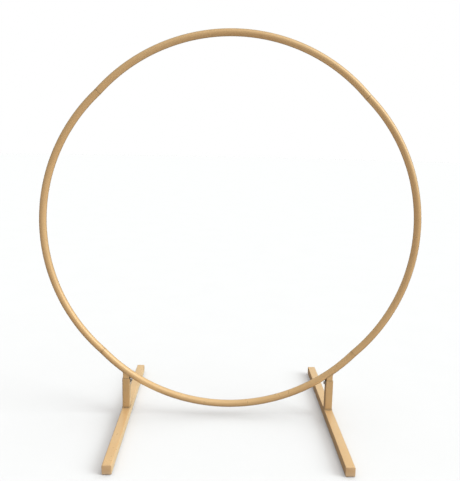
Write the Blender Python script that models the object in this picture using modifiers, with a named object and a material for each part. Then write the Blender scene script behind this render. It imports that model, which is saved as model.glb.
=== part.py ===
# Wreath frame: a person-high round floor ring for flowers, on two floor feet.
#
# The ring is four bent round tubes joined end to end over inner sleeves, each
# joint held by two screws at the back.  A square stub welded under the ring on
# each side drops into a square post welded on a floor beam, and a clamp bolt
# through the post's inner wall presses on the stub.
#
# Metres, +Z up, +X along the ring's width.  Origin on the floor under the
# ring's centre.

import math

import bmesh
import bpy
from mathutils import Matrix, Vector

# ---------------------------------------------------------------- dimensions
RING_OUTER_RADIUS = 1.000      # reached at the middle of each arc
RING_CENTRE_Z = 1.053
TUBE_RADIUS = 0.019            # 38 mm round tube
TUBE_WALL = 0.0015
ARC_CENTRE_OFFSET = 0.0525     # each arc is bent tighter than the ring
ARC_SIDES = 16
ARC_STEPS = 28

SLEEVE_RADIUS = 0.0164
SLEEVE_WALL = 0.0020
SLEEVE_LENGTH = 0.140
SLEEVE_SIDES = 20

JOINT_SCREW_DISTANCE = 0.0365  # from the joint, along the ring
SCREW_SHANK_RADIUS = 0.0025    # M5
SCREW_HOLE_RADIUS = 0.0028
SCREW_HEAD_RADIUS = 0.0048
SCREW_HEAD_HEIGHT = 0.0032
SCREW_REACH = 0.0075

FOOT_X = 0.556                 # centre line of each foot
BEAM_SIZE = 0.045              # square tube
BEAM_WALL = 0.002
BEAM_CORNER = 0.004
FOOT_LENGTH = 1.200
CAP_FLANGE = 0.003
CAP_PLUG_DEPTH = 0.020
PAD_HEIGHT = 0.003
PAD_WIDTH = 0.030
PAD_LENGTH = 0.060
PAD_Y = 0.550

POST_SIZE = 0.040
POST_WALL = 0.003
POST_CORNER = 0.004
POST_TOP_Z = RING_CENTRE_Z - 0.837

STUB_SIZE = 0.0334
STUB_WALL = 0.002
STUB_CORNER = 0.003
STUB_INSERTION = 0.100

CLAMP_DROP = 0.017             # bolt axis below the post's top
CLAMP_SHANK_RADIUS = 0.0050    # M10
CLAMP_HOLE_RADIUS = 0.0053
CLAMP_HEAD_ACROSS_FLATS = 0.016
CLAMP_HEAD_HEIGHT = 0.0064
WASHER_RADIUS = 0.0100
WASHER_THICKNESS = 0.0020

GAP = 0.0003                   # between touching pieces

# ------------------------------------------------------------- derived sizes
ARC_RADIUS = RING_OUTER_RADIUS - TUBE_RADIUS - ARC_CENTRE_OFFSET
HALF = math.radians(45.0)
JOINT_RADIUS = (ARC_CENTRE_OFFSET * math.cos(HALF)
                + math.sqrt(ARC_RADIUS ** 2
                            - (ARC_CENTRE_OFFSET * math.sin(HALF)) ** 2))
ARC_END_ANGLE = math.atan2(JOINT_RADIUS * math.sin(HALF),
                           JOINT_RADIUS * math.cos(HALF) - ARC_CENTRE_OFFSET)
BEAM_BOTTOM_Z = PAD_HEIGHT + GAP
BEAM_TOP_Z = BEAM_BOTTOM_Z + BEAM_SIZE
BEAM_LENGTH = FOOT_LENGTH - 2.0 * (CAP_FLANGE + GAP)
RING_CENTRE = Vector((0.0, 0.0, RING_CENTRE_Z))

# --------------------------------------------------------------- clean scene
for old in list(bpy.data.objects):
    bpy.data.objects.remove(old, do_unlink=True)

PARTS = bpy.data.collections.new("wreath_frame")
CUTTERS = bpy.data.collections.new("cutters")
bpy.context.scene.collection.children.link(PARTS)
bpy.context.scene.collection.children.link(CUTTERS)


# ------------------------------------------------------------------- helpers
def material(name, colour, roughness, metallic):
    mat = bpy.data.materials.get(name)
    if mat is None:
        mat = bpy.data.materials.new(name)
        mat.use_nodes = True
        shader = mat.node_tree.nodes["Principled BSDF"]
        shader.inputs["Base Color"].default_value = (*colour, 1.0)
        shader.inputs["Roughness"].default_value = roughness
        shader.inputs["Metallic"].default_value = metallic
    return mat


def gold_paint(name):
    return material(name + "_paint", (0.56, 0.36, 0.17), 0.38, 0.35)


def zinc(name):
    return material(name + "_zinc", (0.36, 0.34, 0.31), 0.35, 0.9)


def dark_rubber(name):
    return material(name + "_rubber", (0.02, 0.02, 0.02), 0.85, 0.0)


def gold_plastic(name):
    return material(name + "_plastic", (0.50, 0.33, 0.17), 0.5, 0.0)


def empty(name, location):
    obj = bpy.data.objects.new(name, None)
    obj.empty_display_size = 0.05
    obj.location = location
    PARTS.objects.link(obj)
    return obj


def add_object(name, mesh, collection=None):
    obj = bpy.data.objects.new(name, mesh)
    (collection or PARTS).objects.link(obj)
    return obj


def place(obj, matrix, parent=None):
    """Set the world transform of an object, and hang it on a parent empty."""
    if parent is not None:
        obj.parent = parent
        obj.matrix_parent_inverse = Matrix.Identity(4)
        obj.matrix_basis = Matrix.Translation(-parent.location) @ matrix
    else:
        obj.matrix_basis = matrix
    return obj


def finish(obj, mat, smooth_angle=None):
    obj.data.materials.clear()
    obj.data.materials.append(mat)
    if smooth_angle is not None:
        obj.data.shade_smooth()
        obj.data.set_sharp_from_angle(angle=math.radians(smooth_angle))
    return obj


def as_cutter(obj):
    obj.hide_render = True
    obj.display_type = 'WIRE'
    return obj


def boolean(obj, cutter, operation='DIFFERENCE'):
    mod = obj.modifiers.new(operation.lower(), 'BOOLEAN')
    mod.operation = operation
    mod.solver = 'EXACT'
    mod.object = cutter
    return mod


def rounded_square_points(size, radius, segments=3):
    """Corner points of a square outline with rounded corners."""
    points = []
    half = size / 2.0 - radius
    for quarter, (sx, sy) in enumerate(((1, 1), (-1, 1), (-1, -1), (1, -1))):
        for step in range(segments + 1):
            angle = math.pi / 2.0 * (quarter + step / segments)
            points.append((sx * half + radius * math.cos(angle),
                           sy * half + radius * math.sin(angle)))
    return points


def circle_points(radius, count):
    return [(radius * math.cos(2.0 * math.pi * i / count),
             radius * math.sin(2.0 * math.pi * i / count))
            for i in range(count)]


def outline_mesh(name, outlines, length):
    """A flat outline with holes, extruded to `length` about its own middle."""
    curve = bpy.data.curves.new(name + "_outline", 'CURVE')
    curve.dimensions = '2D'
    curve.fill_mode = 'BOTH'
    curve.extrude = length / 2.0
    for points in outlines:
        spline = curve.splines.new('POLY')
        spline.points.add(len(points) - 1)
        for point, (x, y) in zip(spline.points, points):
            point.co = (x, y, 0.0, 1.0)
        spline.use_cyclic_u = True
    temp = bpy.data.objects.new(name + "_outline", curve)
    CUTTERS.objects.link(temp)
    depsgraph = bpy.context.evaluated_depsgraph_get()
    mesh = bpy.data.meshes.new_from_object(temp.evaluated_get(depsgraph))
    bpy.data.objects.remove(temp, do_unlink=True)
    bpy.data.curves.remove(curve)
    bm = bmesh.new()
    bm.from_mesh(mesh)
    bmesh.ops.remove_doubles(bm, verts=bm.verts, dist=0.00005)
    bmesh.ops.recalc_face_normals(bm, faces=bm.faces)
    bm.to_mesh(mesh)
    bm.free()
    mesh.name = name
    return mesh


def square_tube(name, size, wall, corner, length):
    inner = size - 2.0 * wall
    return outline_mesh(name, [rounded_square_points(size, corner),
                               rounded_square_points(inner, max(corner - wall, 0.001))],
                        length)


def turned_mesh_object(name, profile, steps, closed=False):
    """A profile in the X-Z plane, turned about Z with a Screw modifier."""
    mesh = bpy.data.meshes.new(name)
    bm = bmesh.new()
    verts = [bm.verts.new((x, 0.0, z)) for x, z in profile]
    for a, b in zip(verts, verts[1:]):
        bm.edges.new((a, b))
    if closed:
        bm.edges.new((verts[-1], verts[0]))
    bm.to_mesh(mesh)
    bm.free()
    obj = add_object(name, mesh)
    mod = obj.modifiers.new("turn", 'SCREW')
    mod.axis = 'Z'
    mod.angle = 2.0 * math.pi
    mod.steps = steps
    mod.render_steps = steps
    mod.use_merge_vertices = True
    mod.merge_threshold = 0.00002
    return obj


def cylinder(name, radius, depth, segments, matrix, collection=None):
    mesh = bpy.data.meshes.new(name)
    bm = bmesh.new()
    bmesh.ops.create_cone(bm, cap_ends=True, segments=segments, radius1=radius,
                          radius2=radius, depth=depth)
    bm.to_mesh(mesh)
    bm.free()
    obj = add_object(name, mesh, collection)
    obj.matrix_basis = matrix
    return obj


def frame_matrix(origin, z_axis, x_axis):
    """A transform with its Z and X axes along the given directions."""
    z = Vector(z_axis).normalized()
    x = Vector(x_axis).normalized()
    y = z.cross(x).normalized()
    x = y.cross(z)
    rot = Matrix((x, y, z)).transposed().to_4x4()
    return Matrix.Translation(origin) @ rot


def polar(angle):
    """Radial direction in the ring's plane, angle from +X towards +Z."""
    return Vector((math.cos(angle), 0.0, math.sin(angle)))


def tangent(angle):
    return Vector((-math.sin(angle), 0.0, math.cos(angle)))


def tube_surface(mesh_name, tube_radius, sides, steps, extra, mid_angle):
    """Open tube skin swept along one arc, cut square to each joint's plane."""
    arc_centre = RING_CENTRE + polar(mid_angle) * ARC_CENTRE_OFFSET
    start = mid_angle - ARC_END_ANGLE - extra
    sweep = 2.0 * (ARC_END_ANGLE + extra)
    bm = bmesh.new()
    circle = bmesh.ops.create_circle(bm, cap_ends=False, segments=sides,
                                     radius=tube_radius)
    # the section's X axis is the arc's radial direction, its Z the tangent
    section = frame_matrix(arc_centre + polar(start) * ARC_RADIUS,
                           tangent(start), polar(start))
    bmesh.ops.transform(bm, matrix=section, verts=circle["verts"])
    bmesh.ops.spin(bm, geom=bm.verts[:] + bm.edges[:], cent=arc_centre,
                   axis=(0.0, -1.0, 0.0), angle=sweep, steps=steps,
                   use_duplicate=False)
    return bm


def trim_at_joints(bm, mid_angle, half_gap):
    for sign in (-1.0, 1.0):
        joint_angle = mid_angle + sign * HALF
        normal = tangent(joint_angle) * sign
        bmesh.ops.bisect_plane(bm, geom=bm.verts[:] + bm.edges[:] + bm.faces[:],
                               dist=0.000001,
                               plane_co=RING_CENTRE - normal * half_gap,
                               plane_no=normal, clear_outer=True)


# ------------------------------------------------------------- parent empties
ring_root = empty("ring_body", RING_CENTRE)
foot_roots = {"left": empty("left_foot", (-FOOT_X, 0.0, BEAM_BOTTOM_Z)),
              "right": empty("right_foot", (FOOT_X, 0.0, BEAM_BOTTOM_Z))}

# ------------------------------------------------------------------ ring arcs
JOINT_ANGLES = {"upper_right": math.radians(45.0),
                "upper_left": math.radians(135.0),
                "lower_left": math.radians(225.0),
                "lower_right": math.radians(315.0)}
ARC_MIDS = {"right": 0.0, "top": math.pi / 2.0, "left": math.pi,
            "bottom": 3.0 * math.pi / 2.0}


BACK = Vector((0.0, 1.0, 0.0))


def screw_seat(joint_angle, side):
    """Where a joint screw's axis meets the tube's centre line, and the arc's
    radial direction there.  The screws go in from the back of the ring."""
    along = tangent(joint_angle) * (side * JOINT_SCREW_DISTANCE)
    mid = joint_angle + side * HALF
    arc_centre = RING_CENTRE + polar(mid) * ARC_CENTRE_OFFSET
    near = RING_CENTRE + polar(joint_angle) * JOINT_RADIUS + along
    radial = (near - arc_centre).normalized()
    return arc_centre + radial * ARC_RADIUS, radial


arcs = {}
for arc_name, mid_angle in ARC_MIDS.items():
    bm = tube_surface("arc", TUBE_RADIUS, ARC_SIDES, ARC_STEPS,
                      math.radians(1.0), mid_angle)
    trim_at_joints(bm, mid_angle, GAP / 2.0)
    bmesh.ops.recalc_face_normals(bm, faces=bm.faces)
    # the skin's normals point away from the tube's centre line
    probe = bm.faces[:][len(bm.faces) // 2]
    arc_centre = RING_CENTRE + polar(mid_angle) * ARC_CENTRE_OFFSET
    offset = probe.calc_center_median() - arc_centre
    flat = Vector((offset.x, 0.0, offset.z)).normalized() * ARC_RADIUS
    if probe.normal.dot(offset - flat) < 0.0:
        bmesh.ops.reverse_faces(bm, faces=bm.faces)
    bmesh.ops.translate(bm, verts=bm.verts, vec=-RING_CENTRE)
    mesh = bpy.data.meshes.new("ring_arc_" + arc_name)
    bm.to_mesh(mesh)
    bm.free()
    arc = add_object("ring_arc_" + arc_name, mesh)
    place(arc, Matrix.Translation(RING_CENTRE), ring_root)
    solid = arc.modifiers.new("wall", 'SOLIDIFY')
    solid.thickness = TUBE_WALL
    solid.offset = -1.0
    solid.use_even_offset = True
    solid.use_rim = True
    finish(arc, gold_paint("ring_arc_" + arc_name), 40)
    arcs[arc_name] = arc

# ----------------------------------------------------- sleeves and joint screws
ARC_AFTER = {"upper_right": ("right", "top"), "upper_left": ("top", "left"),
             "lower_left": ("left", "bottom"), "lower_right": ("bottom", "right")}

head_top = SCREW_HEAD_HEIGHT
SCREW_PROFILE = [(0.0, head_top),
                 (SCREW_HEAD_RADIUS * 0.55, head_top * 0.93),
                 (SCREW_HEAD_RADIUS * 0.86, head_top * 0.68),
                 (SCREW_HEAD_RADIUS, head_top * 0.28),
                 (SCREW_HEAD_RADIUS, 0.0),
                 (SCREW_SHANK_RADIUS, 0.0),
                 (SCREW_SHANK_RADIUS, -SCREW_REACH + 0.0006),
                 (SCREW_SHANK_RADIUS - 0.0006, -SCREW_REACH),
                 (0.0, -SCREW_REACH)]

for joint_name, joint_angle in JOINT_ANGLES.items():
    sleeve_mesh = outline_mesh(
        "joint_sleeve_" + joint_name,
        [circle_points(SLEEVE_RADIUS, SLEEVE_SIDES),
         circle_points(SLEEVE_RADIUS - SLEEVE_WALL, SLEEVE_SIDES)],
        SLEEVE_LENGTH)
    sleeve = add_object("joint_sleeve_" + joint_name, sleeve_mesh)
    place(sleeve,
          frame_matrix(RING_CENTRE + polar(joint_angle) * (JOINT_RADIUS + 0.00015),
                       tangent(joint_angle), polar(joint_angle)), ring_root)
    finish(sleeve, zinc("joint_sleeve_" + joint_name), 40)

    for side, arc_name in zip((-1.0, 1.0), ARC_AFTER[joint_name]):
        seat, radial = screw_seat(joint_angle, side)
        label = joint_name + ("_a" if side < 0 else "_b")
        hole = cylinder("hole_" + label, SCREW_HOLE_RADIUS, 0.030, 16,
                        frame_matrix(seat + BACK * 0.018, BACK, radial),
                        CUTTERS)
        as_cutter(hole)
        boolean(arcs[arc_name], hole)
        boolean(sleeve, hole)
        screw = turned_mesh_object("joint_screw_" + label, SCREW_PROFILE, 14)
        place(screw,
              frame_matrix(seat + BACK * (TUBE_RADIUS + GAP), BACK, radial),
              ring_root)
        finish(screw, zinc("joint_screw_" + label), 35)

# --------------------------------------------------------------- the two feet
# a disc that fills the inside of the bottom arc up to its centre line
disc = cylinder("stub_trim_disc", ARC_RADIUS, 0.060, 128,
                Matrix.Translation(RING_CENTRE + polar(ARC_MIDS["bottom"])
                                   * ARC_CENTRE_OFFSET)
                @ Matrix.Rotation(math.pi / 2.0, 4, 'X'), CUTTERS)
as_cutter(disc)

# a solid tube around the bottom arc, one gap larger, for the stubs' coped tops
bm = tube_surface("cope", TUBE_RADIUS + GAP, 32, 64, 0.0, ARC_MIDS["bottom"])
bmesh.ops.holes_fill(bm, edges=[e for e in bm.edges if e.is_boundary], sides=0)
bmesh.ops.recalc_face_normals(bm, faces=bm.faces)
cope_mesh = bpy.data.meshes.new("stub_cope_tube")
bm.to_mesh(cope_mesh)
bm.free()
cope = as_cutter(add_object("stub_cope_tube", cope_mesh, CUTTERS))

for side_name, sx in (("left", -1.0), ("right", 1.0)):
    x = sx * FOOT_X
    root = foot_roots[side_name]

    # stub: square tube welded under the ring, coped to the round tube
    stub_low = POST_TOP_Z - STUB_INSERTION
    stub_high = RING_CENTRE_Z - 0.755
    stub = add_object(side_name + "_ring_stub",
                      square_tube(side_name + "_ring_stub", STUB_SIZE, STUB_WALL,
                                  STUB_CORNER, stub_high - stub_low))
    place(stub, Matrix.Translation((x, 0.0, (stub_high + stub_low) / 2.0)), ring_root)
    boolean(stub, disc)
    boolean(stub, cope)
    finish(stub, gold_paint(side_name + "_ring_stub"), 40)

    # post: square tube standing on the beam, drilled for the clamp bolt
    post_low = BEAM_TOP_Z + GAP
    post = add_object(side_name + "_post",
                      square_tube(side_name + "_post", POST_SIZE, POST_WALL,
                                  POST_CORNER, POST_TOP_Z - post_low))
    place(post, Matrix.Translation((x, 0.0, (POST_TOP_Z + post_low) / 2.0)), root)
    finish(post, gold_paint(side_name + "_post"), 40)

    # clamp bolt on the post's inner side, its axis along X
    inward = Vector((-sx, 0.0, 0.0))
    bolt_z = POST_TOP_Z - CLAMP_DROP
    face = Vector((x, 0.0, bolt_z)) + inward * (POST_SIZE / 2.0)
    hole = as_cutter(cylinder(side_name + "_clamp_hole", CLAMP_HOLE_RADIUS,
                              POST_WALL * 3.0, 20,
                              frame_matrix(face, inward, (0.0, 1.0, 0.0)), CUTTERS))
    boolean(post, hole)

    washer = turned_mesh_object(
        side_name + "_clamp_washer",
        [(CLAMP_HOLE_RADIUS, WASHER_THICKNESS), (WASHER_RADIUS, WASHER_THICKNESS),
         (WASHER_RADIUS, 0.0), (CLAMP_HOLE_RADIUS, 0.0)], 24, closed=True)
    place(washer, frame_matrix(face + inward * GAP, inward, (0.0, 1.0, 0.0)), root)
    finish(washer, zinc(side_name + "_clamp_washer"), 35)

    seat = GAP + WASHER_THICKNESS + GAP
    tip = -(POST_WALL + (POST_SIZE / 2.0 - POST_WALL - STUB_SIZE / 2.0) - GAP / 3.0)
    head_mesh = bpy.data.meshes.new(side_name + "_clamp_bolt")
    bm = bmesh.new()
    bmesh.ops.create_cone(bm, cap_ends=True, segments=6,
                          radius1=CLAMP_HEAD_ACROSS_FLATS / math.sqrt(3.0),
                          radius2=CLAMP_HEAD_ACROSS_FLATS / math.sqrt(3.0),
                          depth=CLAMP_HEAD_HEIGHT)
    bmesh.ops.translate(bm, verts=bm.verts,
                        vec=(0.0, 0.0, seat + CLAMP_HEAD_HEIGHT / 2.0))
    bm.to_mesh(head_mesh)
    bm.free()
    bolt = add_object(side_name + "_clamp_bolt", head_mesh)
    bolt_matrix = frame_matrix(face, inward, (0.0, 1.0, 0.0))
    place(bolt, bolt_matrix, root)
    shank_top = seat + CLAMP_HEAD_HEIGHT * 0.5
    shank = as_cutter(cylinder(side_name + "_clamp_shank", CLAMP_SHANK_RADIUS,
                               shank_top - tip, 20,
                               bolt_matrix @ Matrix.Translation(
                                   (0.0, 0.0, (shank_top + tip) / 2.0)), CUTTERS))
    boolean(bolt, shank, 'UNION')
    finish(bolt, zinc(side_name + "_clamp_bolt"), 35)

    # beam: square tube along Y, lying on two rubber pads
    beam = add_object(side_name + "_floor_beam",
                      square_tube(side_name + "_floor_beam", BEAM_SIZE, BEAM_WALL,
                                  BEAM_CORNER, BEAM_LENGTH))
    place(beam, Matrix.Translation((x, 0.0, (BEAM_TOP_Z + BEAM_BOTTOM_Z) / 2.0))
          @ Matrix.Rotation(math.pi / 2.0, 4, 'X'), root)
    finish(beam, gold_paint(side_name + "_floor_beam"), 40)

    for end_name, sy in (("front", -1.0), ("rear", 1.0)):
        # end cap: a flange flush with the tube and a plug inside it
        cap_name = side_name + "_beam_cap_" + end_name
        cap = add_object(cap_name, outline_mesh(
            cap_name, [rounded_square_points(BEAM_SIZE, BEAM_CORNER)], CAP_FLANGE))
        flange_y = sy * (BEAM_LENGTH / 2.0 + GAP + CAP_FLANGE / 2.0)
        centre_z = (BEAM_TOP_Z + BEAM_BOTTOM_Z) / 2.0
        turn = Matrix.Rotation(math.pi / 2.0, 4, 'X')
        place(cap, Matrix.Translation((x, flange_y, centre_z)) @ turn, root)
        plug = as_cutter(add_object(cap_name + "_plug", outline_mesh(
            cap_name + "_plug",
            [rounded_square_points(BEAM_SIZE - 2.0 * BEAM_WALL - 2.0 * GAP,
                                   BEAM_CORNER - BEAM_WALL)],
            CAP_PLUG_DEPTH + CAP_FLANGE / 2.0), CUTTERS))
        plug.matrix_basis = Matrix.Translation(
            (x, flange_y - sy * (CAP_PLUG_DEPTH + CAP_FLANGE / 2.0) / 2.0,
             centre_z)) @ turn
        boolean(cap, plug, 'UNION')
        finish(cap, gold_plastic(cap_name), 40)

        # pad: a thin rubber strip stuck under the beam
        pad_name = side_name + "_foot_pad_" + end_name
        pad_mesh = bpy.data.meshes.new(pad_name)
        bm = bmesh.new()
        bmesh.ops.create_cube(bm, size=1.0)
        bmesh.ops.scale(bm, vec=(PAD_WIDTH, PAD_LENGTH, PAD_HEIGHT), verts=bm.verts)
        bm.to_mesh(pad_mesh)
        bm.free()
        pad = add_object(pad_name, pad_mesh)
        place(pad, Matrix.Translation((x, sy * PAD_Y, PAD_HEIGHT / 2.0)), root)
        bevel = pad.modifiers.new("edges", 'BEVEL')
        bevel.width = 0.0006
        bevel.segments = 1
        finish(pad, dark_rubber(pad_name))
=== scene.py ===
import math

import bmesh
import bpy
import numpy as np
from mathutils import Matrix, Vector


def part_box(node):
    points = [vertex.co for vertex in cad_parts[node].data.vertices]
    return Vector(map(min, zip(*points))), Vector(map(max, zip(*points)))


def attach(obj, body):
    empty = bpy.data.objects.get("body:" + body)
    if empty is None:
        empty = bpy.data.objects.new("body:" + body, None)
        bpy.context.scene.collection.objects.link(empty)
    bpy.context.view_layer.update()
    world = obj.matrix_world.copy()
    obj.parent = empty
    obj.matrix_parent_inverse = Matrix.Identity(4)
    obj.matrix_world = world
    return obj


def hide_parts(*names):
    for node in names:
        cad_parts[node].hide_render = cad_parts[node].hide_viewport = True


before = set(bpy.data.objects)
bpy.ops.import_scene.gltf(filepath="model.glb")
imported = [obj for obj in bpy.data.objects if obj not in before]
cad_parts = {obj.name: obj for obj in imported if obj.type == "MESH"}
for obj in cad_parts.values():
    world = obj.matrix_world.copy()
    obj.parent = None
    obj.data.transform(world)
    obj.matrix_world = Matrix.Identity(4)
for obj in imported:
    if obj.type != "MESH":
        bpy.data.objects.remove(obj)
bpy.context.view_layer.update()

# ------------------------------------------------------------------ sizes
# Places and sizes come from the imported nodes' boxes.
GAP = 0.0003
arc_top_lo, arc_top_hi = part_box("ring_arc_top")
arc_right_lo, arc_right_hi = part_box("ring_arc_right")
RING_R = arc_right_hi.x
TUBE_R = arc_top_hi.y
TUBE_WALL = 0.0015
CENTRE_Z = arc_top_hi.z - RING_R
ARC_OFFSET = 0.0525
ARC_R = RING_R - TUBE_R - ARC_OFFSET
HALF = math.radians(45.0)
JOINT_R = (ARC_OFFSET * math.cos(HALF)
           + math.sqrt(ARC_R ** 2 - (ARC_OFFSET * math.sin(HALF)) ** 2))
ARC_END = math.atan2(JOINT_R * math.sin(HALF), JOINT_R * math.cos(HALF) - ARC_OFFSET)
CENTRE = Vector((0.0, 0.0, CENTRE_Z))
# the studio: an even room and soft windows of light (direction, tightness,
# strength), as matt surfaces gather them and as the satin paint mirrors them
ROOM_MATT = (0.715, 0.680, 0.665)
WINDOWS_MATT = [((0.35, 0.10, 0.93), 4.0, (1.92, 1.98, 1.98))]
ROOM_SHEEN = (0.110, 0.130, 0.105)
WINDOWS_SHEEN = [((0.85, -0.31, 0.42), 3.0, (0.20, 0.23, 0.23)),
                 ((0.80, -0.31, 0.50), 14.0, (2.10, 2.30, 2.30)),
                 ((0.29, -0.50, 0.82), 12.0, (0.55, 0.60, 0.60)),
                 ((0.10, 0.93, 0.36), 6.0, (0.553, 0.560, 0.500))]
FLOOR_SHEEN = (0.120, 0.085, 0.060)
FLOOR_LIT = (0.800, 0.680, 0.450)
FLOOR_BOUNCE = (0.460, 0.442, 0.430)
FLOOR_TONE = (0.572, 0.575, 0.577)
Y_AXIS = Vector((0.0, 1.0, 0.0))
CLAMP_SHANK_R = 0.0050
CLAMP_HOLE_R = 0.0053
CLAMP_ACROSS = 0.016
CLAMP_HEAD_H = 0.0064

col = bpy.data.collections.new("wreath_frame_looks")
bpy.context.scene.collection.children.link(col)
tools = bpy.data.collections.new("wreath_frame_tools")
bpy.context.scene.collection.children.link(tools)


# --------------------------------------------------------------- geometry
def polar(a):
    return Vector((math.cos(a), 0.0, math.sin(a)))


def tangent(a):
    return Vector((-math.sin(a), 0.0, math.cos(a)))


def frame_matrix(origin, z_axis, x_axis):
    z = Vector(z_axis).normalized()
    x = Vector(x_axis).normalized()
    y = z.cross(x).normalized()
    x = y.cross(z)
    return Matrix.Translation(origin) @ Matrix((x, y, z)).transposed().to_4x4()


def loft(name, rings, closed=True, cap=False):
    """Quads between successive closed rings of points."""
    n = len(rings[0])
    verts = [tuple(p) for ring in rings for p in ring]
    faces = []
    count = len(rings)
    for i in range(count if closed else count - 1):
        a, b = i * n, ((i + 1) % count) * n
        for k in range(n):
            m = (k + 1) % n
            faces.append((a + k, a + m, b + m, b + k))
    if cap and not closed:
        faces.append(tuple(range(n - 1, -1, -1)))
        faces.append(tuple((count - 1) * n + k for k in range(n)))
    mesh = bpy.data.meshes.new(name)
    mesh.from_pydata(verts, [], faces)
    bm = bmesh.new()
    bm.from_mesh(mesh)
    bmesh.ops.recalc_face_normals(bm, faces=bm.faces)
    bm.to_mesh(mesh)
    bm.free()
    obj = bpy.data.objects.new(name, mesh)
    col.objects.link(obj)
    return obj


def smooth(obj, angle=30.0):
    obj.data.shade_smooth()
    obj.data.set_sharp_from_angle(angle=math.radians(angle))
    return obj


def apply_modifiers(obj):
    dg = bpy.context.evaluated_depsgraph_get()
    mesh = bpy.data.meshes.new_from_object(obj.evaluated_get(dg))
    obj.modifiers.clear()
    old = obj.data
    obj.data = mesh
    bpy.data.meshes.remove(old)
    return obj


def cut(obj, cutter, operation='DIFFERENCE'):
    mod = obj.modifiers.new("cut", 'BOOLEAN')
    mod.operation = operation
    mod.solver = 'EXACT'
    mod.object = cutter
    bpy.context.view_layer.update()
    apply_modifiers(obj)
    return obj


def drop(*objs):
    for o in objs:
        bpy.data.objects.remove(o, do_unlink=True)


def cylinder(name, radius, depth, segments, matrix, radius2=None):
    mesh = bpy.data.meshes.new(name)
    bm = bmesh.new()
    bmesh.ops.create_cone(bm, cap_ends=True, segments=segments, radius1=radius,
                          radius2=radius if radius2 is None else radius2, depth=depth)
    bm.to_mesh(mesh)
    bm.free()
    obj = bpy.data.objects.new(name, mesh)
    tools.objects.link(obj)
    obj.matrix_world = matrix
    return obj


def bake_transform(obj, matrix=None):
    """Puts the object's place into its mesh, so shading uses the row's frame."""
    obj.data.transform(matrix if matrix is not None else obj.matrix_world)
    obj.matrix_world = Matrix.Identity(4)
    return obj


def rounded_square(size, radius, segments=8, subdivide=1):
    pts = []
    half = size / 2.0 - radius
    for quarter, (sx, sy) in enumerate(((1, 1), (-1, 1), (-1, -1), (1, -1))):
        for step in range(segments + 1):
            a = math.pi / 2.0 * (quarter + step / segments)
            pts.append(Vector((sx * half + radius * math.cos(a),
                               sy * half + radius * math.sin(a))))
    if subdivide > 1:
        out = []
        for i, p in enumerate(pts):
            q = pts[(i + 1) % len(pts)]
            out.append(p)
            if (q - p).length > size * 0.3:
                out.extend(p.lerp(q, k / subdivide) for k in range(1, subdivide))
        pts = out
    return pts


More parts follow.
